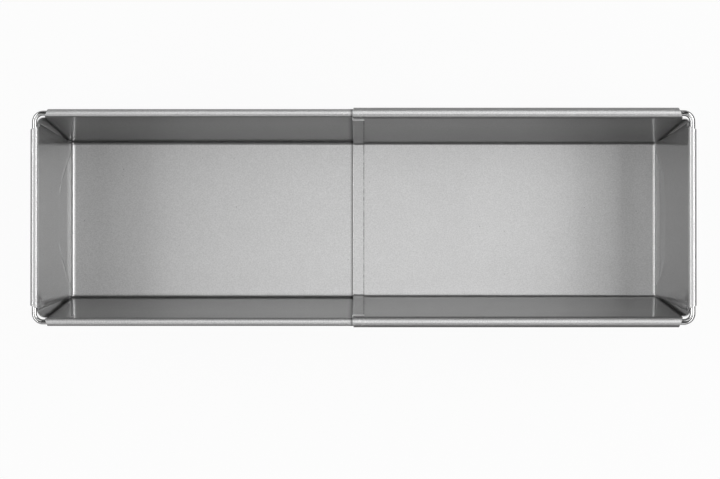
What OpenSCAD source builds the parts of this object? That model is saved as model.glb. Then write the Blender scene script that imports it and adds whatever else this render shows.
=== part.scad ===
// Extendable loaf tin: two folded sheet steel half shells that telescope, with wired rims.
// It is drawn fully pulled out. +X runs along the tin towards the upper half, and Z is up.
// The origin is on the table, below the middle of the pulled-out tin.

/* [Overall] */
// Length over both end rolls with the tin fully pulled out
extended_length = 350; // [300:1:420]
// Width over the side rolls of the upper half
overall_width = 115.4; // [100:0.2:140]
// Height from the table to the top of the upper half's side rolls
overall_height = 70; // [50:1:90]
// Lean of every wall from upright, in degrees
wall_lean = 8.5; // [4:0.5:14]
// Thickness of the sheet steel
sheet = 0.45; // [0.35:0.05:0.6]
// Inside radius of the upper half's bends round the floor
floor_bend_r = 1.5; // [1:0.1:4]
// Inside radius of each upright corner at the rim, narrowing to nothing at the floor
rim_corner_r = 4; // [2:0.5:7]

/* [Sliding fit] */
// Gap between the two halves wherever one slides in the other
slide_gap = 0.25; // [0.2:0.05:0.4]
// Length over which the halves still overlap when fully pulled out
overlap = 12; // [8:1:30]
// Place of the upper half's open edge, from the middle of the pulled-out tin
seam_x = -5.8; // [-12:0.2:0]
// Gap left between that edge and the foot of the lower end wall when pushed in
closing_gap = 4.9; // [3:0.1:15]

/* [Rolled rims] */
// Outer diameter of the lower half's rolls and of the upper half's end roll
roll_d = 4.3; // [4:0.1:5.5]
// Distance from each end of the tin to the closed ends of the side rolls
side_roll_inset = 8.4; // [8:0.2:14]
// Distance from each side of the tin to the ends of the end rolls
end_roll_inset = 10.7; // [9:0.1:16]
// Angle of the cut at each roll's end, off square
roll_cut_angle = 22; // [0:1:35]
// Angle from straight down at which the upper side roll's curl stops, under the lower roll
curl_stop_angle = 10; // [0:1:25]

/* [Rim wires] */
// Diameter of the lower half's rim wire
lower_wire_d = 2.6; // [2:0.1:3]
// Diameter of the upper half's rim wire
upper_wire_d = 3; // [2:0.1:3]
// Radius of the wires' corner bends, to the middle of the wire
wire_bend_r = 4.5; // [3.5:0.1:8]
// Length by which the lower wire stops short of the lower side rolls' open ends
wire_recess = 2; // [0:0.5:10]

/* [Hem and flaps] */
// Width of the hem folded inwards along the upper half's open edge
hem_width = 6.3; // [4:0.1:12]
// Distance from the middle of the side roll down to the top of the hem
hem_drop = 1.65; // [1:0.05:6]
// Rise of the folded flaps' lower edges on the end walls, in degrees
flap_angle = 49; // [40:1:60]
// Gap between the two flaps on an end wall
flap_spacing = 16; // [6:1:40]
// Gap between the flaps' top edges and the end roll
flap_top_gap = 0.2; // [0.1:0.1:2]

/* [Hidden] */
$fn = 64;
// Number of sides of the rods that round the floor bends in a hull
hull_fn = 32;
// Allowance by which a cutter stands past what it cuts
past = 2;
// Thickness of the plate that carries a hull's upper outline
plate = 0.01;
// Step that keeps the flaps' side faces just inside the side walls' faces
flap_side_step = 0.04;
// Height above the floor's underside at which the flaps start
flap_start = 0.6;
// Overlap of the upper side roll with the wall that it grows from
roll_root = 0.2;

half_length = extended_length / 2;
roll_r = roll_d / 2;
// Outer radius of the upper side roll, which wraps round the lower one
wrap_r = roll_r + slide_gap + sheet;
roll_x = half_length - roll_r;
roll_y = overall_width / 2 - wrap_r;
roll_z = overall_height - wrap_r;
lower_open_x = seam_x + overlap;

// Half the width between the side faces at height z, for a face at distance d from the roll's axis
function half_width(z, d) = roll_y - d / cos(wall_lean) - (roll_z - z) * tan(wall_lean);
// Distance from the middle of the tin to an end face at height z, in the same way
function half_end(z, d) = roll_x - d / cos(wall_lean) - (roll_z - z) * tan(wall_lean);
// Corner radius at height z, growing evenly from the floor to the rim
function corner_r(z, rim_r) = rim_r * z / roll_z;

// Sliding travel from fully pulled out to pushed in
travel = seam_x + half_end(sheet, roll_r) - closing_gap;
// Where the upper wire's legs stop, so that the lower rolls clear them when pushed in
upper_leg_x = lower_open_x + travel + slide_gap;

upper_floor_z = sheet + slide_gap;
upper_inner_floor_z = upper_floor_z + sheet;
// Bend radii, nested so that the halves stay one gap apart all round
upper_outer_bend_r = floor_bend_r + sheet;
lower_inner_bend_r = upper_outer_bend_r + slide_gap;
lower_outer_bend_r = lower_inner_bend_r + sheet;

// A solid block with one face of a tray on all its sides, closed towards -X and cut off at open_x.
// side_d and end_d are the faces' distances from the roll axes, and top_z is the block's top.
module tray_block(side_d, end_d, floor_z, bend_r, rim_r, open_x, top_z) {
    $fn = hull_fn;
    rod_z = floor_z + bend_r;
    rod_x = half_end(rod_z, end_d + bend_r);
    rod_y = half_width(rod_z, side_d + bend_r);
    top_r = corner_r(top_z, rim_r);
    top_x = half_end(top_z, end_d);
    top_y = half_width(top_z, side_d);
    hull() {
        for (side = [-1, 1]) {
            translate([-rod_x, side * rod_y, rod_z])
                rotate([0, 90, 0])
                    cylinder(h = rod_x + open_x, r = bend_r);
            translate([top_r - top_x, side * (top_y - top_r), top_z - plate])
                cylinder(h = plate, r = top_r);
        }
        translate([-rod_x, -rod_y, rod_z])
            rotate([-90, 0, 0])
                cylinder(h = 2 * rod_y, r = bend_r);
        translate([top_r - top_x, -top_y, top_z - plate])
            cube([open_x + top_x - top_r, 2 * top_y, plate]);
    }
}

// Outline, seen from the end, of the flap on one side of an end wall
module flap_outline(side_d, floor_z) {
    foot_z = floor_z + flap_start;
    foot_y = half_width(foot_z, side_d);
    inner_y = flap_spacing / 2;
    top_z = roll_z - roll_r - flap_top_gap;
    outer_y = overall_width / 2;
    polygon([
        [foot_y, foot_z],
        [outer_y, foot_z],
        [outer_y, top_z],
        [inner_y, top_z],
        [inner_y, foot_z + (foot_y - inner_y) * tan(flap_angle)]
    ]);
}

// Both folded corner flaps of a tray: two more layers of sheet on the outside of the end wall.
// The block behind them runs into the tray, and the tray's inside is cut from it afterwards.
module corner_flaps(side_d, end_d, floor_z, bend_r, rim_r) {
    face_d = end_d - 2 * sheet;
    reach_x = half_end(floor_z, end_d + bend_r) - rim_r;
    intersection() {
        tray_block(side_d + flap_side_step, face_d, floor_z, bend_r, rim_r, -reach_x, roll_z + past);
        for (side = [0, 1])
            mirror([0, side, 0])
                translate([-half_length, 0, 0])
                    rotate([90, 0, 90])
                        linear_extrude(height = half_length)
                            flap_outline(side_d, floor_z);
    }
}

// Everything above the top edge of the sheet, where the rolls take over
module above_sheet() {
    translate([-half_length - past, -overall_width / 2, roll_z])
        cube([2 * half_length + 2 * past, overall_width, overall_height]);
}

// A cutter that takes off all that lies past a slanted plane through the origin, towards -X
module end_cutter(reach) {
    rotate([0, 0, -roll_cut_angle])
        translate([-2 * reach, -2 * reach, -reach])
            cube([2 * reach, 4 * reach, 2 * reach]);
}

// One side roll, on the +Y side: a tube along X with its closed end cut at a slant
module side_roll(outer_r, open_x) {
    start_x = side_roll_inset - half_length;
    translate([start_x, roll_y, roll_z])
        difference() {
            translate([-outer_r, 0, 0])
                rotate([0, 90, 0])
                    cylinder(h = open_x - start_x + outer_r, r = outer_r);
            translate([-outer_r - past, 0, 0])
                rotate([0, 90, 0])
                    cylinder(h = open_x - start_x + outer_r + 2 * past, r = outer_r - sheet);
            end_cutter(2 * outer_r);
        }
}

// The roll along an end wall: a tube along Y with both its ends cut at a slant
module end_roll() {
    half_span = overall_width / 2 - end_roll_inset;
    translate([-roll_x, 0, roll_z])
        difference() {
            translate([0, -half_span - roll_r, 0])
                rotate([-90, 0, 0])
                    cylinder(h = 2 * (half_span + roll_r), r = roll_r);
            translate([0, -half_span - roll_r - past, 0])
                rotate([-90, 0, 0])
                    cylinder(h = 2 * (half_span + roll_r + past), r = roll_r - sheet);
            for (side = [0, 1])
                mirror([0, side, 0])
                    translate([0, half_span, 0])
                        rotate([0, 0, -90])
                            mirror([0, 1, 0])
                                end_cutter(2 * roll_r);
        }
}

// Room inside the upper side roll's curl for the lower wall, from the curl's edge to the wall
module curl_mouth() {
    edge_y = (wrap_r - sheet / 2) * sin(curl_stop_angle);
    translate([-half_length, roll_y - wrap_r - past, roll_z - wrap_r - past])
        cube([2 * half_length, wrap_r + past - edge_y, wrap_r + past - roll_root]);
}

// A rim wire: a bar across the end, two corner bends and two legs along the sides
module rim_wire(wire_d, leg_x) {
    bend_x = roll_x - wire_bend_r;
    bend_y = roll_y - wire_bend_r;
    translate([-roll_x, -bend_y, roll_z])
        rotate([-90, 0, 0])
            cylinder(h = 2 * bend_y, d = wire_d);
    for (side = [0, 1])
        mirror([0, side, 0]) {
            translate([-bend_x, roll_y, roll_z])
                rotate([0, 90, 0])
                    cylinder(h = bend_x + leg_x, d = wire_d);
            translate([-bend_x, bend_y, roll_z])
                rotate([0, 0, 90])
                    rotate_extrude(angle = 90)
                        translate([wire_bend_r, 0])
                            circle(d = wire_d);
        }
}

module lower_tray() {
    outer_d = roll_r - sheet;
    outer_rim_r = rim_corner_r + sheet;
    color("silver") {
        difference() {
            union() {
                tray_block(
                    outer_d, outer_d, 0, lower_outer_bend_r,
                    outer_rim_r, lower_open_x, roll_z + past
                );
                corner_flaps(outer_d, outer_d, 0, lower_outer_bend_r, outer_rim_r);
            }
            tray_block(
                roll_r, roll_r, sheet, lower_inner_bend_r,
                rim_corner_r, lower_open_x + past, roll_z + 2 * past
            );
            above_sheet();
        }
        for (side = [0, 1])
            mirror([0, side, 0])
                side_roll(roll_r, lower_open_x);
        end_roll();
    }
}

module lower_rim_wire() {
    color("gainsboro")
        rim_wire(lower_wire_d, lower_open_x - wire_recess);
}

module upper_tray() {
    outer_d = wrap_r - sheet;
    end_outer_d = roll_r - sheet;
    outer_rim_r = rim_corner_r + sheet;
    open_x = -seam_x;
    hem_bend_r = floor_bend_r - sheet;
    color("silver")
        mirror([1, 0, 0]) {
            difference() {
                union() {
                    tray_block(
                        outer_d, end_outer_d, upper_floor_z, upper_outer_bend_r,
                        outer_rim_r, open_x, roll_z + past
                    );
                    corner_flaps(outer_d, end_outer_d, upper_floor_z, upper_outer_bend_r, outer_rim_r);
                }
                difference() {
                    tray_block(
                        wrap_r, roll_r, upper_inner_floor_z, floor_bend_r,
                        rim_corner_r, open_x + past, roll_z + 2 * past
                    );
                    translate([open_x - hem_width, -overall_width / 2, 0])
                        cube([hem_width + 2 * past, overall_width, roll_z - hem_drop]);
                }
                tray_block(
                    wrap_r + sheet, roll_r + sheet, upper_inner_floor_z + sheet, hem_bend_r,
                    rim_corner_r, open_x + past, roll_z + 3 * past
                );
                above_sheet();
            }
            for (side = [0, 1])
                mirror([0, side, 0])
                    difference() {
                        side_roll(wrap_r, open_x);
                        curl_mouth();
                    }
            end_roll();
        }
}

module upper_rim_wire() {
    color("gainsboro")
        mirror([1, 0, 0])
            rim_wire(upper_wire_d, -upper_leg_x);
}

lower_tray();
lower_rim_wire();
upper_tray();
upper_rim_wire();
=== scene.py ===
"""The looks of the extendable loaf tin: folded sheets, bright rim wires, studio light and camera."""

import math

import bmesh
import bpy
from mathutils import Matrix, Vector, noise


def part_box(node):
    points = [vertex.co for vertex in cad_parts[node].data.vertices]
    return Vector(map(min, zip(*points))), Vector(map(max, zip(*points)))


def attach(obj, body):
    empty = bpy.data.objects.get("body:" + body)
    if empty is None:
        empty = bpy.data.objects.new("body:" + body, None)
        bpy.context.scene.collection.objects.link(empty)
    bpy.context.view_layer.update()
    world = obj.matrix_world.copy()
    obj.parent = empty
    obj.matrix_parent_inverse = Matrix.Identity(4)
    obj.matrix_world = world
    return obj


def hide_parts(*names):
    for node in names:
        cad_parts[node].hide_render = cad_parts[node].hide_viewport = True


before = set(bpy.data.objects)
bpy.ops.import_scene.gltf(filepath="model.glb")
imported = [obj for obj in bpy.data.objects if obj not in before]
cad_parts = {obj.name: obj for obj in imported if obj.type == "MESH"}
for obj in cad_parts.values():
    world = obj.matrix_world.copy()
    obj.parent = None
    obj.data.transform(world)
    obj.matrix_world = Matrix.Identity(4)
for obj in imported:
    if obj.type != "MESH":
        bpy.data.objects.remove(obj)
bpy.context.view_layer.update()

MM = 0.001

# Sizes read from the frame
LOWER_LO, LOWER_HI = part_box("lower_tray")
UPPER_LO, UPPER_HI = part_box("upper_tray")
LOWER_WIRE_LO, LOWER_WIRE_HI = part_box("lower_rim_wire")
LOWER_WIRE_R = (LOWER_WIRE_HI.z - LOWER_WIRE_LO.z) / 2
ROLL_Z = (LOWER_WIRE_HI.z + LOWER_WIRE_LO.z) / 2
ROLL_X = -(LOWER_WIRE_LO.x + LOWER_WIRE_R)
ROLL_Y = LOWER_WIRE_HI.y - LOWER_WIRE_R
ROLL_R = LOWER_HI.z - ROLL_Z
WRAP_R = UPPER_HI.z - ROLL_Z
HALF_LENGTH = -LOWER_LO.x
HALF_WIDTH = UPPER_HI.y
REST_X = UPPER_LO.x

# The sheet and its bends; the slack keeps the side rolls inside the CAD box
SHEET = 0.45 * MM
BOX_SLACK = 0.003 * MM
LEAN = math.radians(8.5)
UPPER_BEND_R = 1.5 * MM
SLIDE_GAP = WRAP_R - ROLL_R - SHEET
LOWER_BEND_R = UPPER_BEND_R + SHEET + SLIDE_GAP

# The rolls round the rim, their slanting ends and the shoulders below them
SIDE_ROLL_INSET = 8.4 * MM
END_ROLL_INSET = 10.7 * MM
ROLL_CUT = math.tan(math.radians(22))
LOWER_CURL_STOP = math.radians(145)
UPPER_CURL_STOP = math.radians(100)
END_CURL_STOP = math.radians(145)
UPPER_OPEN_SLANT = 0.12
SHOULDER_DROP = 1.75 * MM

# The hem along the upper half's open edge
HEM_WIDTH = 6.3 * MM
HEM_DROP = 1.65 * MM
HEM_FOLD_R = 0.32 * MM

# Corner cones, back and front, and the flaps folded flat outside the end walls
LOWER_CORNER_R = (3.6 * MM, 4.8 * MM)
UPPER_CORNER_R = (2.6 * MM, 3.2 * MM)
CORNER_FOOT_R = 0.8 * MM
CORNER_FOLD_SETBACK = 0.2 * MM
FOLD_R = 0.24 * MM
FOLD_START_SHARE = 0.05
LAYERS_PART_Z = 10 * MM
FLAP_SLOPE = math.tan(math.radians(49))
FLAP_HALF_GAP = 8 * MM

# The end walls' feet, which stand out where no flap backs them
PUSH_DEPTH = 0.55 * MM
LOWER_PUSH_TOP_Z = 36 * MM
UPPER_PUSH_TOP_Z = 24 * MM
PUSH_FADE = 16 * MM
PUSH_FOOT = 8 * MM
PUSH_EDGE_AT_CORNER = 1 * MM
PUSH_EDGE_INWARD = 5 * MM
PUSH_EDGE_REACH = 25 * MM

# The low ridges over the flaps' slanting edges
RIDGE_HEIGHT = 0.34 * MM
RIDGE_HALF_WIDTH = 0.8 * MM
LOWER_RIDGE_TOP_Z = 30 * MM
UPPER_RIDGE_TOP_Z = 15 * MM
RIDGE_FADE = 14 * MM
RIDGE_FOOT = 2 * MM

# The strips by the front corners that lean in
CUP_SLOPE = 0.1
CUP_START = 1.5 * MM
CUP_SETBACK = 1 * MM
CUP_FADE = 8 * MM
CUP_FOOT = 6 * MM

# Faint unevenness of the faces; a shift keeps each wall's waves from repeating the floor's
WAVE_DEPTH = 0.07 * MM
WAVE_LENGTH = 70 * MM
WAVE_MARGIN = 15 * MM
WAVE_CORNER_INSET = 6 * MM
SIDE_WAVE_SHIFT = 1
END_WAVE_SHIFT = 0.5
LOWER_SEED = 1.7
UPPER_SEED = 5.3

# Mesh density
BEND_STEPS = 8
LOW_WALL_TOP_Z = LOWER_PUSH_TOP_Z
LOW_WALL_STEPS = 40
HIGH_WALL_STEPS = 20
SIDE_STEPS = 32
SIDE_FINE_LENGTH = 32 * MM
SIDE_FINE_STEPS = 34
PAST_SIDE_ROLL_STEPS = (0.5, 0.8, 1.0)
END_STEPS = 124
PAST_END_ROLL_STEPS = (0.5, 1.0)
CURL_STEPS = 36
CURL_BLEND_STEPS = 4
CONE_STEPS = 10
FOLD_STEPS = 6
FLAP_STEPS = 12
HEM_STEPS = 4
MERGE_DISTANCE = 0.0001 * MM
SHARP_ANGLE = math.radians(40)


def lerp(a, b, t):
    return a + (b - a) * t


def clamp(value, low=0.0, high=1.0):
    return max(low, min(high, value))


def smooth(t):
    t = clamp(t)
    return t * t * (3 - 2 * t)


def wall_y(z, distance):
    """Half the width at height z between the side planes that pass the side rolls' axes at a distance."""
    return ROLL_Y - distance / math.cos(LEAN) - (ROLL_Z - z) * math.tan(LEAN)


def wall_x(z, distance):
    """The same for the end planes, from the middle of the pulled-out tin."""
    return ROLL_X - distance / math.cos(LEAN) - (ROLL_Z - z) * math.tan(LEAN)


class Row:
    """One level round the walls: its height, where the walls stand, and how far it has bent up."""

    def __init__(self, z, half_y, half_x, tilt):
        self.z = z
        self.half_y = half_y
        self.half_x = half_x
        self.tilt = tilt


class TraySheet:
    """The middle surface of one half's folded sheet, drawn closed towards -X."""

    def __init__(
        self, side_r, floor_z, bend_r, open_x, open_slant, curl_stop, hem, corner_r,
        push_top_z, ridge_top_z, seed,
    ):
        self.side_r = side_r - SHEET / 2 - BOX_SLACK
        self.end_r = ROLL_R - SHEET / 2
        self.floor_z = floor_z + SHEET / 2
        self.bend_r = bend_r + SHEET / 2
        self.open_x = open_x
        self.open_slant = open_slant
        self.curl_stop = curl_stop
        self.hem = hem
        self.corner_r = {1: corner_r[0], -1: corner_r[1]}
        self.push_top_z = push_top_z
        self.ridge_top_z = ridge_top_z
        self.seed = seed
        self.edge_x = open_x - (HEM_FOLD_R + SHEET / 2 if hem else 0)
        self.shoulder_z = ROLL_Z - SHOULDER_DROP
        self.rows = self.make_rows()
        self.shoulder = self.row_at(self.shoulder_z)
        self.hem_row = self.row_at(ROLL_Z - HEM_DROP)
        self.side_steps = self.make_side_steps()
        self.end_steps = self.make_end_steps()

    def make_rows(self):
        """Levels from the floor, round the bend and up the wall to where the curls start."""
        rod_z = self.floor_z + self.bend_r
        rod_y = wall_y(rod_z, self.side_r + self.bend_r)
        rod_x = wall_x(rod_z, self.end_r + self.bend_r)
        upright = math.pi / 2 - LEAN
        rows = []
        for i in range(BEND_STEPS + 1):
            tilt = upright * i / BEND_STEPS
            out = self.bend_r * math.sin(tilt)
            rows.append(Row(rod_z - self.bend_r * math.cos(tilt), rod_y + out, rod_x + out, tilt))
        heights = self.levels(rows[-1].z, LOW_WALL_TOP_Z, LOW_WALL_STEPS)
        heights += self.levels(LOW_WALL_TOP_Z, self.shoulder_z, HIGH_WALL_STEPS)
        heights.append(ROLL_Z - HEM_DROP)
        heights.append(ROLL_Z + self.end_r * math.sin(LEAN))
        for z in heights:
            rows.append(Row(z, wall_y(z, self.side_r), wall_x(z, self.end_r), upright))
        return rows

    def levels(self, low, high, count):
        """Heights above the low one, in equal steps up to the high one."""
        return [lerp(low, high, i / count) for i in range(1, count + 1)]

    def row_at(self, z):
        return next(i for i, row in enumerate(self.rows) if row.z > z - MERGE_DISTANCE)

    def rise(self, z):
        return clamp((z - self.floor_z) / (ROLL_Z - self.floor_z))

    def radius(self, row, side):
        """Corner radius at a level: nothing at the floor, then widening like a cone."""
        foot = min(self.bend_r * math.sin(row.tilt), CORNER_FOOT_R)
        return foot + (self.corner_r[side] - CORNER_FOOT_R) * self.rise(row.z)

    def fold(self, row):
        """Radius of the tight folds at a level; the layers part just above the floor."""
        if row is self.rows[0]:
            return 0
        return FOLD_R * clamp((row.z - self.floor_z) / LAYERS_PART_Z, FOLD_START_SHARE)

    def cone_x(self, row, side):
        """Where the side wall ends and the corner's cone starts."""
        return -(row.half_x + 4 * self.fold(row) - self.radius(row, side))

    def fold_y(self, row, side):
        """Where the end wall's face ends at the corner fold."""
        if row is self.rows[0]:
            return row.half_y
        return row.half_y - self.radius(row, side) - CORNER_FOLD_SETBACK * self.rise(row.z)

    def roll_cut_x(self, y):
        """Where a side roll's slanting end lies at a distance from the middle."""
        return SIDE_ROLL_INSET - HALF_LENGTH + (y - ROLL_Y) * ROLL_CUT

    def roll_cut_y(self, x):
        """Where the end roll's slanting ends lie at an x."""
        return HALF_WIDTH - END_ROLL_INSET + (x + ROLL_X) * ROLL_CUT

    def make_side_steps(self):
        """Fractions along a side wall from its open edge to the cone, finer near the corner."""
        length = self.edge_x - self.cone_x(self.rows[self.shoulder], 1)
        roll = (self.edge_x - self.roll_cut_x(self.rows[-1].half_y)) / length
        fine = roll - SIDE_FINE_LENGTH / length
        steps = [fine * i / SIDE_STEPS for i in range(SIDE_STEPS)]
        steps += [lerp(fine, roll, i / SIDE_FINE_STEPS) for i in range(SIDE_FINE_STEPS + 1)]
        self.roll_step = len(steps) - 1
        return steps + [lerp(roll, 1, t) for t in PAST_SIDE_ROLL_STEPS]

    def make_end_steps(self):
        """Fractions across the end wall from -1 to 1, with the end roll's ends among them."""
        cut = self.roll_cut_y(-self.rows[-1].half_x) / self.fold_y(self.rows[self.shoulder], 1)
        inner = [lerp(-cut, cut, i / END_STEPS) for i in range(END_STEPS + 1)]
        outer = [lerp(cut, 1, t) for t in PAST_END_ROLL_STEPS]
        self.end_roll = slice(len(outer), len(outer) + len(inner))
        return [-t for t in reversed(outer)] + inner + outer

    def side_x(self, row, side, step):
        return lerp(self.edge_x, self.cone_x(row, side), step)

    def end_y(self, row, step):
        side = 1 if step > 0 else -1
        return step * self.fold_y(row, side)

    def side_roll_end(self, side):
        """Where the wall under a side roll ends."""
        return self.side_x(self.rows[self.shoulder], side, self.side_steps[self.roll_step])

    def along_roll(self, start, end):
        """Places along a side roll from one x to another, at the side wall's steps."""
        last = self.side_steps[self.roll_step]
        return [lerp(start, end, t / last) for t in self.side_steps[: self.roll_step + 1]]

    def wave(self, a, b, margin):
        """Faint unevenness of a face of thin sheet, none near its bends."""
        place = Vector((a / WAVE_LENGTH, b / WAVE_LENGTH, self.seed))
        return WAVE_DEPTH * noise.noise(place) * smooth(margin / WAVE_MARGIN)

    def above_bend(self, z):
        return z - self.rows[BEND_STEPS].z

    def end_push(self, y, z):
        """How far the end wall stands out where no flap backs it, less the ridge at the flap's edge."""
        inset = self.rows[0].half_y - abs(y)
        below_flap = (inset * FLAP_SLOPE - (z - self.floor_z)) * math.cos(math.atan(FLAP_SLOPE))
        edge = lerp(PUSH_EDGE_AT_CORNER, PUSH_EDGE_INWARD, clamp(inset / PUSH_EDGE_REACH))
        height = self.above_bend(z)
        push = PUSH_DEPTH * smooth(below_flap / edge) * smooth(height / PUSH_FOOT)
        push *= smooth((self.push_top_z - z) / PUSH_FADE)
        ridge = RIDGE_HEIGHT * math.exp(-((below_flap / RIDGE_HALF_WIDTH) ** 2))
        ridge *= smooth(height / RIDGE_FOOT)
        ridge *= smooth((self.ridge_top_z - z) / RIDGE_FADE)
        return push - ridge

    def end_cup(self, y, z):
        """How far the end wall leans in by the front corner, where it was hammered over the flap."""
        past = max(0, -y - self.rows[0].half_y + CUP_SETBACK)
        depth = CUP_SLOPE * past * past / (past + CUP_START)
        return depth * smooth(self.above_bend(z) / CUP_FOOT) * smooth((self.shoulder_z - z) / CUP_FADE)

    def side_point(self, row, side, x):
        corner = x + row.half_x - WAVE_CORNER_INSET
        margin = min(row.z - self.floor_z, self.shoulder_z - row.z, self.edge_x - x, corner)
        y = row.half_y + self.wave(x, row.z + side * SIDE_WAVE_SHIFT, max(0, margin))
        return Vector((x, side * y, row.z))

    def end_point(self, row, y):
        corner = row.half_y - WAVE_CORNER_INSET - abs(y)
        margin = min(row.z - self.floor_z, self.shoulder_z - row.z, corner)
        wave = self.wave(y, row.z + END_WAVE_SHIFT, max(0, margin))
        push = self.end_push(y, row.z) + wave - self.end_cup(y, row.z)
        return Vector((-row.half_x - push, y, row.z))

    def floor_patch(self):
        row = self.rows[0]
        lines = []
        for t in self.side_steps:
            x = lerp(self.edge_x, -row.half_x, t)
            line = []
            for s in self.end_steps:
                y = s * row.half_y
                margin = min(self.edge_x - x, x + row.half_x, row.half_y - abs(y))
                line.append(Vector((x, y, row.z + max(0, self.wave(x, y, margin)))))
            lines.append(line)
        return lines

    def side_patches(self, side):
        """One side wall: its face below the shoulder, and the strip from there to the curl."""
        lower = [
            [self.side_point(row, side, self.side_x(row, side, t)) for t in self.side_steps]
            for row in self.rows[: self.shoulder + 1]
        ]
        wall_end = self.side_roll_end(side)
        upper = [
            [Vector((x, side * row.half_y, row.z)) for x in self.along_roll(self.edge_x, wall_end)]
            for row in self.rows[self.shoulder :]
        ]
        return [lower, upper]

    def side_curl(self, side):
        """The sheet curled outwards and down round the side roll's axis."""
        top = self.rows[-1]
        start = math.pi - math.asin((top.z - ROLL_Z) / self.side_r)
        wall_end = self.side_roll_end(side)
        lines = [[Vector((x, side * top.half_y, top.z)) for x in self.along_roll(self.edge_x, wall_end)]]
        for i in range(1, CURL_STEPS + 1):
            angle = lerp(start, -self.curl_stop, i / CURL_STEPS)
            y = ROLL_Y + self.side_r * math.cos(angle)
            z = ROLL_Z + self.side_r * math.sin(angle)
            blend = clamp(i / CURL_BLEND_STEPS)
            open_x = lerp(self.edge_x, self.open_x - self.open_slant * (y - top.half_y), blend)
            cut_x = lerp(wall_end, self.roll_cut_x(y), blend)
            lines.append([Vector((x, side * y, z)) for x in self.along_roll(open_x, cut_x)])
        return lines

    def end_patches(self):
        """The end wall: its face below the shoulder, and the strip from there to the curl."""
        lower = [
            [self.end_point(row, self.end_y(row, s)) for s in self.end_steps]
            for row in self.rows[: self.shoulder + 1]
        ]
        shoulder = self.rows[self.shoulder]
        upper = [
            [Vector((-row.half_x, self.end_y(shoulder, s), row.z)) for s in self.end_steps[self.end_roll]]
            for row in self.rows[self.shoulder :]
        ]
        return [lower, upper]

    def end_curl(self):
        """The sheet curled the same way round the end roll's axis, cut off at a slant on both sides."""
        top = self.rows[-1]
        shoulder = self.rows[self.shoulder]
        steps = self.end_steps[self.end_roll]
        start = math.pi - math.asin((top.z - ROLL_Z) / self.end_r)
        lines = [[Vector((-top.half_x, self.end_y(shoulder, s), top.z)) for s in steps]]
        for i in range(1, CURL_STEPS + 1):
            angle = lerp(start, -END_CURL_STOP, i / CURL_STEPS)
            x = -ROLL_X - self.end_r * math.cos(angle)
            z = ROLL_Z + self.end_r * math.sin(angle)
            blend = clamp(i / CURL_BLEND_STEPS)
            reach = lerp(self.end_y(shoulder, steps[-1]), self.roll_cut_y(x), blend)
            lines.append([Vector((x, reach * s / steps[-1], z)) for s in steps])
        return lines

    def corner_line(self, row, side):
        """One level of the corner, seen from above: cone, outer flap, fold, inner flap, corner fold."""
        radius = self.radius(row, side)
        fold = self.fold(row)
        outer_x = row.half_x + 4 * fold
        inner_x = row.half_x + 2 * fold
        cone_y = row.half_y - radius
        flap_y = max(FLAP_HALF_GAP, self.rows[0].half_y - (row.z - self.floor_z) / FLAP_SLOPE)
        flap_y = min(flap_y, cone_y)
        fold_y = self.fold_y(row, side)
        cup = self.end_cup(side * fold_y, row.z) - self.end_push(fold_y, row.z)
        line = []
        for i in range(CONE_STEPS + 1):
            angle = math.pi / 2 * i / CONE_STEPS
            line.append((outer_x - radius + radius * math.sin(angle), cone_y + radius * math.cos(angle)))
        for i in range(1, FLAP_STEPS + 1):
            line.append((outer_x, lerp(cone_y, flap_y, i / FLAP_STEPS)))
        turns = [math.pi * i / FOLD_STEPS for i in range(1, FOLD_STEPS + 1)]
        for angle in turns:
            line.append((outer_x - fold + fold * math.cos(angle), flap_y - fold * math.sin(angle)))
        for i in range(1, FLAP_STEPS + 1):
            line.append((inner_x, lerp(flap_y, fold_y, i / FLAP_STEPS)))
        for angle in turns:
            x = inner_x - fold + fold * math.cos(angle) - cup * (1 - math.cos(angle)) / 2
            line.append((x, fold_y + fold * math.sin(angle)))
        return [Vector((-x, side * y, row.z)) for x, y in line]

    def corner_patch(self, side):
        return [self.corner_line(row, side) for row in self.rows[: self.shoulder + 1]]

    def hem_path(self):
        """Places up one wall, across the floor and up the other, each with its inward direction."""
        rows = self.rows[: self.hem_row + 1]
        path = []
        for row in reversed(rows):
            path.append((-row.half_y, row.z, Vector((0, math.sin(row.tilt), math.cos(row.tilt)))))
        for s in self.end_steps[1:-1]:
            path.append((s * self.rows[0].half_y, self.floor_z, Vector((0, 0, 1))))
        for row in rows:
            path.append((row.half_y, row.z, Vector((0, -math.sin(row.tilt), math.cos(row.tilt)))))
        return path

    def hem_profile(self):
        """The hem across its width: the fold at the open edge, and the strip folded back."""
        profile = []
        for i in range(2 * FOLD_STEPS + 1):
            angle = math.pi * i / (2 * FOLD_STEPS)
            profile.append((self.edge_x + HEM_FOLD_R * math.sin(angle), HEM_FOLD_R * (1 - math.cos(angle))))
        for i in range(1, HEM_STEPS + 1):
            profile.append((lerp(self.edge_x, self.open_x - HEM_WIDTH, i / HEM_STEPS), 2 * HEM_FOLD_R))
        return profile

    def hem_patches(self):
        """The hem, and the strips above its ends that run straight out to the open edge."""
        profile = self.hem_profile()
        hem = [
            [Vector((x, y, z)) + inward * offset for x, offset in profile]
            for y, z, inward in self.hem_path()
        ]
        patches = [hem]
        for side in (1, -1):
            patches.append([
                [Vector((x, side * row.half_y, row.z)) for x in (self.edge_x, self.open_x)]
                for row in self.rows[self.hem_row :]
            ])
        return patches

    def patches(self):
        found = [self.floor_patch(), self.end_curl()] + self.end_patches()
        for side in (1, -1):
            found += self.side_patches(side)
            found.append(self.side_curl(side))
            found.append(self.corner_patch(side))
        if self.hem:
            found += self.hem_patches()
        return found


def add_grid(bm, lines):
    """Faces between neighbouring points of a grid of places."""
    verts = [[bm.verts.new(p) for p in line] for line in lines]
    for a, b in zip(verts, verts[1:]):
        for i in range(len(a) - 1):
            bm.faces.new((a[i], a[i + 1], b[i + 1], b[i]))


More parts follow.
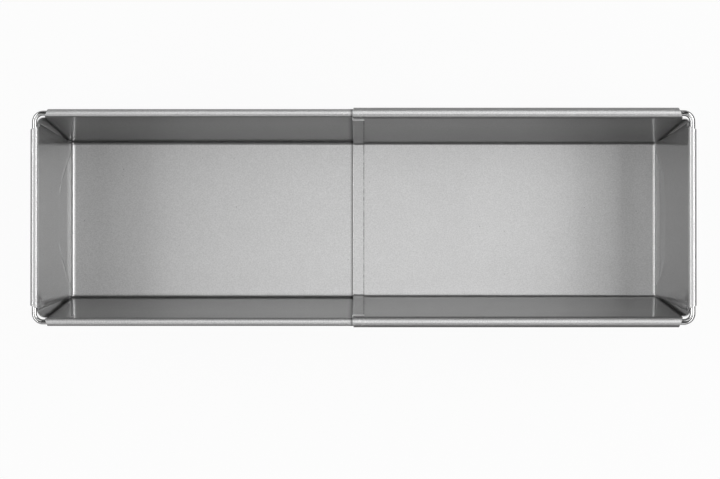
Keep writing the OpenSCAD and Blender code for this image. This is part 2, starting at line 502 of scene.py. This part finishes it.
def sheet_mesh(name, sheet, mirrored):
    """The sheet's middle surface as one mesh."""
    bm = bmesh.new()
    for lines in sheet.patches():
        add_grid(bm, lines)
    bmesh.ops.remove_doubles(bm, verts=bm.verts, dist=MERGE_DISTANCE)
    bmesh.ops.dissolve_degenerate(bm, edges=bm.edges, dist=MERGE_DISTANCE / 2)
    if mirrored:
        for v in bm.verts:
            v.co.x = -v.co.x
    bmesh.ops.recalc_face_normals(bm, faces=bm.faces)
    mesh = bpy.data.meshes.new(name)
    bm.to_mesh(mesh)
    bm.free()
    return mesh


def apply_modifiers(obj):
    bpy.context.view_layer.update()
    depsgraph = bpy.context.evaluated_depsgraph_get()
    mesh = bpy.data.meshes.new_from_object(obj.evaluated_get(depsgraph))
    obj.modifiers.clear()
    obj.data = mesh


def sheet_object(name, sheet, mirrored, coat, cut_edge):
    """A closed mesh of the sheet: its middle surface, thickened both ways, with bare cut edges."""
    mesh = sheet_mesh(name, sheet, mirrored)
    mesh.materials.append(coat)
    mesh.materials.append(cut_edge)
    obj = bpy.data.objects.new(name, mesh)
    bpy.context.scene.collection.objects.link(obj)
    thick = obj.modifiers.new("sheet thickness", "SOLIDIFY")
    thick.thickness = SHEET
    thick.offset = 0
    thick.material_offset_rim = 1
    apply_modifiers(obj)
    obj.data.polygons.foreach_set("use_smooth", [True] * len(obj.data.polygons))
    obj.data.set_sharp_from_angle(angle=SHARP_ANGLE)
    flat = obj.modifiers.new("flat faces stay flat", "WEIGHTED_NORMAL")
    flat.keep_sharp = True
    apply_modifiers(obj)
    return obj


# The coat on the sheet
FLAKE_TONE = 0.58
FLAKE_EDGE_TONE = 0.15
FLAKE_ROUGHNESS = 0.36
ROUGHNESS_SCALE = 160
ROUGHNESS_SWING = 0.04
GLOSS_IOR = 1.45
GLOSS_ROUGHNESS = 0.09
GRAIN_SCALE = 1500
GRAIN_SWING = 0.26
GRAIN_HEIGHT = 0.01 * MM
MOTTLE_SCALE = 45
MOTTLE_SWING = 0.03
SPECK_SCALE = 110
SPECK_R = 0.035
SPECK_DROP = 0.22

# Painted highlight on the side rolls' crests, painted shade on their flanks, and wear on the rolls by the
# seam; a pair gives where a tone starts and where it is full
ROLL_TONE_Z = (ROLL_Z - 1 * MM, ROLL_Z + 0.5 * MM)
ROLL_ROUGHNESS = 0.1
CREST_PAINTED_HIGHLIGHT = 0.35
CREST_Y = (2.3 * MM, 0.3 * MM)
FLANK_PAINTED_SHADE = 0.4
FRONT_FLANK_PAINTED_SHADE = 0.36
FRONT_FLANK_Y = (-ROLL_Y - 0.5 * MM, -ROLL_Y - 1.5 * MM)
SIDE_ROLL_Y = (ROLL_Y - 4 * MM, ROLL_Y - 3 * MM)
WEAR_LIFT = 0.14
WEAR_X = -6 * MM
WEAR_REACH = (16 * MM, 4 * MM)
WEAR_SCALE = 650
WEAR_PATCHES = (0.5, 0.72)

# Painted shade on the sheet's inner side, in the long bends, low on the long walls and in the corners:
# strengths, and pairs as above
INNER_SIDE = (-0.05, 0.05)
BELOW_ROLL_Z = (ROLL_Z - 1 * MM, ROLL_Z - 2 * MM)
BEND_PAINTED_SHADE = 0.52
BEND_SHADE_SHIFT = 0.2 * MM
BEND_SHADE_Z = (2.6 * MM, 1.8 * MM)
BEND_START_Y = (41.4 * MM, 42 * MM)
BEND_STOP_Y = (43.6 * MM, 42.8 * MM)
WALL_PAINTED_SHADE = 0.4
WALL_SHADE_Z = (50 * MM, 3 * MM)
WALL_START_Y = (42 * MM, 43.6 * MM)
CORNER_PAINTED_SHADE = 0.5
CORNER_SHADE_SPREAD = 0.3
CORNER_SHADE_FOOT = 4 * MM
CORNER_SHADE_ACROSS = 3.0
CORNER_SHADE_FADE = (1.0, 0.1)

# Painted shadow where the upper half's open edge rests and along the hem's cut edge
EDGE_PAINTED_SHADOW = 0.6
EDGE_SIDE_X = (REST_X + 0.1 * MM, REST_X)
EDGE_SHADOW_GAP = 0.2 * MM
EDGE_SHADOW_REACH = 1.9 * MM
EDGE_SHADOW_REACH_SWING = 1.2 * MM
EDGE_SHADOW_GROWS_Z = (1 * MM, 8 * MM)
EDGE_SHADOW_FADE = (1.0, 0.1)
ROLL_LINE_FADE = (0.5, 0.1)
ROLL_LINE_Z = (ROLL_Z - 1 * MM, ROLL_Z)
CUT_LINE_X = REST_X + HEM_WIDTH - 0.28 * MM
CUT_LINE_FADE = (0.36 * MM, 0.14 * MM)
CUT_LINE_SCALE = 420
CUT_LINE_PATCHES = (0.26, 0.58)

# Bare cut edges
CUT_TONE = 0.95
CUT_ROUGHNESS = 0.42
CUT_SWING = 0.1
CUT_MARK_SCALE = 2500
CUT_MARK_HEIGHT = 0.02 * MM

# Rim wires, with painted shade down their sides
WIRE_TONE = 0.62
WIRE_TONE_SWING = 0.08
WIRE_EDGE_TONE = 0.1
WIRE_ROUGHNESS = 0.14
WIRE_ROUGHNESS_SWING = 0.06
WIRE_PATCH_SCALE = 220
SIDE_SHADE_SHARE = 0.25
UNSHADED_UPWARD = (0.25, 0.85)
DRAWING_MARK_SCALE = 900
DRAWING_MARK_HEIGHT = 0.01 * MM


def feed(tree, socket, value):
    """Link another socket to this one, or give it a number."""
    if isinstance(value, bpy.types.NodeSocket):
        tree.links.new(value, socket)
    else:
        socket.default_value = value


def add_math(tree, operation, a, b):
    """The output of a new math node over two sockets or numbers."""
    node = tree.nodes.new("ShaderNodeMath")
    node.operation = operation
    feed(tree, node.inputs[0], a)
    feed(tree, node.inputs[1], b)
    return node.outputs[0]


def grey_colour(tone):
    return (tone, tone, tone, 1)


class Nodes:
    """Short ways to add shader nodes to one metal material."""

    def __init__(self, name):
        self.material = bpy.data.materials.new(name)
        self.material.use_nodes = True
        self.tree = self.material.node_tree
        self.shader = self.tree.nodes["Principled BSDF"]
        self.shader.inputs["Metallic"].default_value = 1
        coordinates = self.tree.nodes.new("ShaderNodeTexCoord")
        self.place = coordinates.outputs["Object"]
        self.direction = coordinates.outputs["Normal"]

    def plus(self, a, b):
        return add_math(self.tree, "ADD", a, b)

    def minus(self, a, b):
        return add_math(self.tree, "SUBTRACT", a, b)

    def times(self, a, b):
        return add_math(self.tree, "MULTIPLY", a, b)

    def over(self, a, b):
        return add_math(self.tree, "DIVIDE", a, b)

    def larger(self, a, b):
        return add_math(self.tree, "MAXIMUM", a, b)

    def distance(self, a, b=0.0):
        """How far apart two numbers are."""
        return add_math(self.tree, "ABSOLUTE", self.minus(a, b), 0.0)

    def noise(self, scale, detail=2.0):
        """Noise between about 0 and 1 over the object's own coordinates, in features per metre."""
        node = self.tree.nodes.new("ShaderNodeTexNoise")
        node.inputs["Scale"].default_value = scale
        node.inputs["Detail"].default_value = detail
        self.tree.links.new(self.place, node.inputs["Vector"])
        return node.outputs["Fac"]

    def specks(self, scale, radius):
        """1 within small round dots that are scattered over the surface, 0 between them."""
        node = self.tree.nodes.new("ShaderNodeTexVoronoi")
        node.inputs["Scale"].default_value = scale
        self.tree.links.new(self.place, node.inputs["Vector"])
        return add_math(self.tree, "LESS_THAN", node.outputs["Distance"], radius)

    def ramp(self, value, ends):
        """0 to 1 as the value goes from the first end to the second."""
        node = self.tree.nodes.new("ShaderNodeMapRange")
        self.tree.links.new(value, node.inputs["Value"])
        node.inputs["From Min"].default_value = ends[0]
        node.inputs["From Max"].default_value = ends[1]
        return node.outputs[0]

    def around(self, value, middle, swing):
        """A 0 to 1 value moved to middle, give or take half the swing."""
        node = self.tree.nodes.new("ShaderNodeMath")
        node.operation = "MULTIPLY_ADD"
        self.tree.links.new(value, node.inputs[0])
        node.inputs[1].default_value = swing
        node.inputs[2].default_value = middle - swing / 2
        return node.outputs[0]

    def split(self, vector):
        """The three numbers in a vector."""
        node = self.tree.nodes.new("ShaderNodeSeparateXYZ")
        self.tree.links.new(vector, node.inputs[0])
        return node.outputs[0], node.outputs[1], node.outputs[2]

    def upward(self):
        """The upright part of the surface's own direction: 1 on level faces, 0 on upright ones."""
        return self.split(self.direction)[2]

    def grey(self, value):
        combine = self.tree.nodes.new("ShaderNodeCombineColor")
        for i in range(3):
            self.tree.links.new(value, combine.inputs[i])
        self.tree.links.new(combine.outputs[0], self.shader.inputs["Base Color"])

    def rough(self, value):
        self.tree.links.new(value, self.shader.inputs["Roughness"])

    def bump(self, height, distance):
        node = self.tree.nodes.new("ShaderNodeBump")
        node.inputs["Distance"].default_value = distance
        self.tree.links.new(height, node.inputs["Height"])
        self.tree.links.new(node.outputs["Normal"], self.shader.inputs["Normal"])


def inner_side(n):
    """1 on the sheet's inner side, which leans upwards, and 0 on its outer side."""
    return n.ramp(n.upward(), INNER_SIDE)


def long_bend_painted_shade(n, y, z):
    """Painted shade in the bends under the long walls."""
    low = n.times(n.ramp(z, BEND_SHADE_Z), inner_side(n))
    out = n.distance(y, -BEND_SHADE_SHIFT)
    return n.times(low, n.times(n.ramp(out, BEND_START_Y), n.ramp(out, BEND_STOP_Y)))


def long_wall_painted_shade(n, y, z):
    """Fainter painted shade on the long walls that deepens towards the floor."""
    low = n.times(n.ramp(z, WALL_SHADE_Z), inner_side(n))
    return n.times(low, n.ramp(n.distance(y), WALL_START_Y))


def corner_painted_shade(n, x, y, z):
    """Painted shade in the corners, on the long walls' side of each cone; it widens with height."""
    lean = n.times(n.minus(ROLL_Z, z), math.tan(LEAN))
    along = n.minus(ROLL_X - ROLL_R, n.plus(n.distance(x), lean))
    across = n.minus(ROLL_Y - ROLL_R, n.plus(n.distance(y), lean))
    out = n.plus(along, n.times(across, CORNER_SHADE_ACROSS))
    reach = n.times(n.larger(z, CORNER_SHADE_FOOT), CORNER_SHADE_SPREAD)
    inside = n.times(n.ramp(z, BELOW_ROLL_Z), inner_side(n))
    return n.times(n.ramp(n.over(out, reach), CORNER_SHADE_FADE), inside)


def edge_painted_shadow(n, x, z):
    """A line of painted shadow where the upper half's open edge rests, and a finer one along the hem's cut
    edge.
    """
    reach = n.around(n.ramp(z, EDGE_SHADOW_GROWS_Z), EDGE_SHADOW_REACH, EDGE_SHADOW_REACH_SWING)
    out = n.over(n.minus(REST_X - EDGE_SHADOW_GAP, x), reach)
    open_side = n.ramp(x, EDGE_SIDE_X)
    rest_line = n.times(n.ramp(out, EDGE_SHADOW_FADE), open_side)
    patches = n.ramp(n.noise(CUT_LINE_SCALE, detail=3.0), CUT_LINE_PATCHES)
    cut_line = n.times(n.ramp(n.distance(x, CUT_LINE_X), CUT_LINE_FADE), patches)
    inside = n.times(n.plus(rest_line, cut_line), inner_side(n))
    on_roll = n.times(n.ramp(z, ROLL_LINE_Z), open_side)
    roll_line = n.times(n.ramp(out, ROLL_LINE_FADE), on_roll)
    return n.plus(n.times(inside, n.ramp(z, BELOW_ROLL_Z)), roll_line)


def side_roll_painted_light(n, y):
    """How much paler than the flat sheet a side roll is: a painted highlight on its crest, painted shade on
    its flanks.
    """
    out = n.distance(y)
    crest = n.ramp(n.distance(out, ROLL_Y), CREST_Y)
    tone = n.minus(n.times(crest, CREST_PAINTED_HIGHLIGHT + FLANK_PAINTED_SHADE), FLANK_PAINTED_SHADE)
    tone = n.minus(tone, n.times(n.ramp(y, FRONT_FLANK_Y), FRONT_FLANK_PAINTED_SHADE))
    return n.times(tone, n.ramp(out, SIDE_ROLL_Y))


def overlap_wear(n, x, rolled):
    """Patches near the seam where one half's roll has worn against the other's."""
    near_seam = n.ramp(n.distance(x, WEAR_X), WEAR_REACH)
    patches = n.ramp(n.noise(WEAR_SCALE, detail=3.0), WEAR_PATCHES)
    return n.times(n.times(near_seam, rolled), n.times(patches, WEAR_LIFT))


def satin_coat():
    """Silver-grey bakeware coat: metal flakes that darken at a slant, under a thin clear gloss."""
    n = Nodes("satin_coat")
    n.shader.inputs["Specular Tint"].default_value = grey_colour(FLAKE_EDGE_TONE)
    n.shader.inputs["Coat Weight"].default_value = 1
    n.shader.inputs["Coat IOR"].default_value = GLOSS_IOR
    n.shader.inputs["Coat Roughness"].default_value = GLOSS_ROUGHNESS
    x, y, z = n.split(n.place)
    grain = n.noise(GRAIN_SCALE, detail=1.0)
    mottle = n.noise(MOTTLE_SCALE, detail=3.0)
    tone = n.plus(n.around(grain, FLAKE_TONE, GRAIN_SWING), n.around(mottle, 0, MOTTLE_SWING))
    tone = n.minus(tone, n.times(n.specks(SPECK_SCALE, SPECK_R), SPECK_DROP))
    rolled = n.ramp(z, ROLL_TONE_Z)
    # Painted highlight on the side rolls' crests and painted shade on their flanks
    tone = n.times(tone, n.plus(1.0, n.times(rolled, side_roll_painted_light(n, y))))
    # Painted shade in the bends, on the long walls and in the corners, and painted shadow by the open edge
    for painted_shade, strength in (
        (long_bend_painted_shade(n, y, z), BEND_PAINTED_SHADE),
        (long_wall_painted_shade(n, y, z), WALL_PAINTED_SHADE),
        (corner_painted_shade(n, x, y, z), CORNER_PAINTED_SHADE),
        (edge_painted_shadow(n, x, z), EDGE_PAINTED_SHADOW),
    ):
        tone = n.times(tone, n.minus(1.0, n.times(painted_shade, strength)))
    n.grey(n.plus(tone, overlap_wear(n, x, rolled)))
    uneven = n.around(n.noise(ROUGHNESS_SCALE, detail=3.0), FLAKE_ROUGHNESS, ROUGHNESS_SWING)
    rough = n.plus(uneven, n.around(grain, 0, ROUGHNESS_SWING))
    n.rough(n.plus(rough, n.times(rolled, ROLL_ROUGHNESS)))
    n.bump(grain, GRAIN_HEIGHT)
    return n.material


def bare_cut_edge():
    """Bare steel where the sheet was cut through the coat, with shearing marks."""
    n = Nodes("bare_cut_edge")
    marks = n.noise(CUT_MARK_SCALE)
    n.grey(n.around(marks, CUT_TONE, CUT_SWING))
    n.rough(n.around(marks, CUT_ROUGHNESS, CUT_SWING))
    n.bump(marks, CUT_MARK_HEIGHT)
    return n.material


def drawn_wire():
    """Bright drawn wire with painted shade down its sides, and a few dull patches."""
    n = Nodes("drawn_wire")
    n.shader.inputs["Specular Tint"].default_value = grey_colour(WIRE_EDGE_TONE)
    dull = n.noise(WIRE_PATCH_SCALE, detail=3.0)
    # Painted shade: faces that don't face up keep only a share of the wire's tone
    facing_up = n.ramp(n.upward(), UNSHADED_UPWARD)
    share = n.around(facing_up, (1 + SIDE_SHADE_SHARE) / 2, 1 - SIDE_SHADE_SHARE)
    n.grey(n.times(n.around(dull, WIRE_TONE, WIRE_TONE_SWING), share))
    n.rough(n.around(dull, WIRE_ROUGHNESS, WIRE_ROUGHNESS_SWING))
    n.bump(n.noise(DRAWING_MARK_SCALE), DRAWING_MARK_HEIGHT)
    return n.material


def make_trays():
    lower = TraySheet(
        side_r=ROLL_R,
        floor_z=0,
        bend_r=LOWER_BEND_R,
        open_x=LOWER_HI.x,
        open_slant=0,
        curl_stop=LOWER_CURL_STOP,
        hem=False,
        corner_r=LOWER_CORNER_R,
        push_top_z=LOWER_PUSH_TOP_Z,
        ridge_top_z=LOWER_RIDGE_TOP_Z,
        seed=LOWER_SEED,
    )
    upper = TraySheet(
        side_r=WRAP_R,
        floor_z=UPPER_LO.z,
        bend_r=UPPER_BEND_R,
        open_x=-UPPER_LO.x,
        open_slant=UPPER_OPEN_SLANT,
        curl_stop=UPPER_CURL_STOP,
        hem=True,
        corner_r=UPPER_CORNER_R,
        push_top_z=UPPER_PUSH_TOP_Z,
        ridge_top_z=UPPER_RIDGE_TOP_Z,
        seed=UPPER_SEED,
    )
    coat = satin_coat()
    cut_edge = bare_cut_edge()
    for name, sheet, mirrored, body, node in (
        ("lower_folded_sheet", lower, False, "lower_half", "lower_tray"),
        ("upper_folded_sheet", upper, True, "upper_half", "upper_tray"),
    ):
        obj = sheet_object(name, sheet, mirrored, coat, cut_edge)
        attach(obj, body)
        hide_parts(node)


def dress_wires():
    metal = drawn_wire()
    for node in ("lower_rim_wire", "upper_rim_wire"):
        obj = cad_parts[node]
        obj.data.materials.clear()
        obj.data.materials.append(metal)


DOWN = Vector((0, 0, -1))
EAST = Vector((1, 0, 0))
NORTH = Vector((0, 1, 0))

# Lamps: name, centre, size, radiance and the way they face
LAMPS = (
    ("top_panel", (-0.045, 0.05, 0.75), (0.27, 0.12), 1.1, DOWN),
    ("top_near_panel", (-0.045, -0.085, 0.75), (0.27, 0.15), 1.5, DOWN),
    ("top_right_panel", (0.135, -0.03, 0.75), (0.09, 0.26), 1.9, DOWN),
    ("top_left_panel", (-0.23, -0.03, 0.75), (0.1, 0.26), 0.26, DOWN),
    ("top_front_panel", (0, -0.3, 0.75), (0.36, 0.28), 0.4, DOWN),
    ("top_back_panel", (0, 0.255, 0.75), (0.36, 0.29), 0.82, DOWN),
    ("top_far_panel", (0.05, 0.61, 0.75), (0.46, 0.38), 1.36, DOWN),
    ("right_lamp", (0.575, 0.15, 0.75), (0.25, 0.54), 4.1, DOWN),
    ("left_lamp", (-0.575, 0.15, 0.75), (0.25, 0.54), 1.1, DOWN),
    ("left_high_panel", (-0.7, 0, 0.625), (1.6, 0.25), 5.15, EAST),
    ("left_low_panel", (-0.7, 0, 0.375), (1.6, 0.25), 0.7, EAST),
    ("right_high_panel", (0.7, 0, 0.625), (1.6, 0.25), 5.7, -EAST),
    ("front_panel", (0, -0.8, 0.5), (1.4, 0.5), 1.1, NORTH),
    ("back_strip", (0, 0.8, 0.125), (1.4, 0.25), 0.6, -NORTH),
)
ROOM_LIGHT = 0.02


def softbox(name, place, size, radiance, facing):
    """A soft rectangular lamp; its first size is level, its second upright or along Y."""
    data = bpy.data.lights.new(name, "AREA")
    data.shape = "RECTANGLE"
    data.size, data.size_y = size
    data.energy = radiance * math.pi * size[0] * size[1]
    obj = bpy.data.objects.new(name, data)
    up = NORTH if facing == DOWN else -DOWN
    turn = Matrix((up.cross(-facing), up, -facing)).transposed()
    obj.matrix_world = Matrix.Translation(place) @ turn.to_4x4()
    bpy.context.scene.collection.objects.link(obj)


def make_lights():
    """A small tent of lamps: panels above, walls at both ends and low strips in front and behind."""
    for lamp in LAMPS:
        softbox(*lamp)
    world = bpy.data.worlds.new("studio")
    bpy.context.scene.world = world
    world.use_nodes = True
    background = world.node_tree.nodes["Background"]
    background.inputs["Color"].default_value = grey_colour(1)
    background.inputs["Strength"].default_value = ROOM_LIGHT


TABLE_SIZE = 12
TABLE_TONE = 0.62
TABLE_WHITE_SHARE = 0.94
TABLE_MIRRORED_SHARE = 0.16


def pale_table():
    """White to the camera and faintly so in reflections, less so where the tin shades it."""
    material = bpy.data.materials.new("pale_table")
    material.use_nodes = True
    tree = material.node_tree
    tree.nodes.clear()
    out = tree.nodes.new("ShaderNodeOutputMaterial")
    diffuse = tree.nodes.new("ShaderNodeBsdfDiffuse")
    diffuse.inputs["Color"].default_value = grey_colour(TABLE_TONE)
    glow = tree.nodes.new("ShaderNodeEmission")
    rays = tree.nodes.new("ShaderNodeLightPath").outputs
    seen = add_math(tree, "MULTIPLY", rays["Is Camera Ray"], TABLE_WHITE_SHARE)
    mirrored = add_math(tree, "MAXIMUM", rays["Is Glossy Ray"], rays["Is Transmission Ray"])
    mirrored = add_math(tree, "MULTIPLY", mirrored, TABLE_MIRRORED_SHARE)
    mix = tree.nodes.new("ShaderNodeMixShader")
    tree.links.new(add_math(tree, "MAXIMUM", seen, mirrored), mix.inputs[0])
    tree.links.new(diffuse.outputs[0], mix.inputs[1])
    tree.links.new(glow.outputs[0], mix.inputs[2])
    tree.links.new(mix.outputs[0], out.inputs["Surface"])
    return material


def make_floor():
    bpy.ops.mesh.primitive_plane_add(size=TABLE_SIZE, location=(0, 0, 0))
    table = bpy.context.object
    table.name = "table"
    table.data.materials.append(pale_table())


CAMERA_PLACE = Vector((0.0, -0.0234, 1.391))
CAMERA_TARGET = Vector((-0.0018, -0.0116, 0.07))
CAMERA_LENS = 126
CAMERA_SENSOR = 36
CAMERA_CLIP_START = 0.05


def make_camera():
    """The photo's view, nearly straight down, with +Y upwards in the picture."""
    data = bpy.data.cameras.new("camera")
    data.lens = CAMERA_LENS
    data.sensor_width = CAMERA_SENSOR
    data.clip_start = CAMERA_CLIP_START
    obj = bpy.data.objects.new("camera", data)
    bpy.context.scene.collection.objects.link(obj)
    back = (CAMERA_PLACE - CAMERA_TARGET).normalized()
    right = NORTH.cross(back).normalized()
    turn = Matrix((right, back.cross(right), back)).transposed()
    obj.matrix_world = Matrix.Translation(CAMERA_PLACE) @ turn.to_4x4()
    bpy.context.scene.camera = obj


make_camera()
make_lights()
make_floor()
make_trays()
dress_wires()

bpy.context.scene.view_settings.view_transform = "Standard"
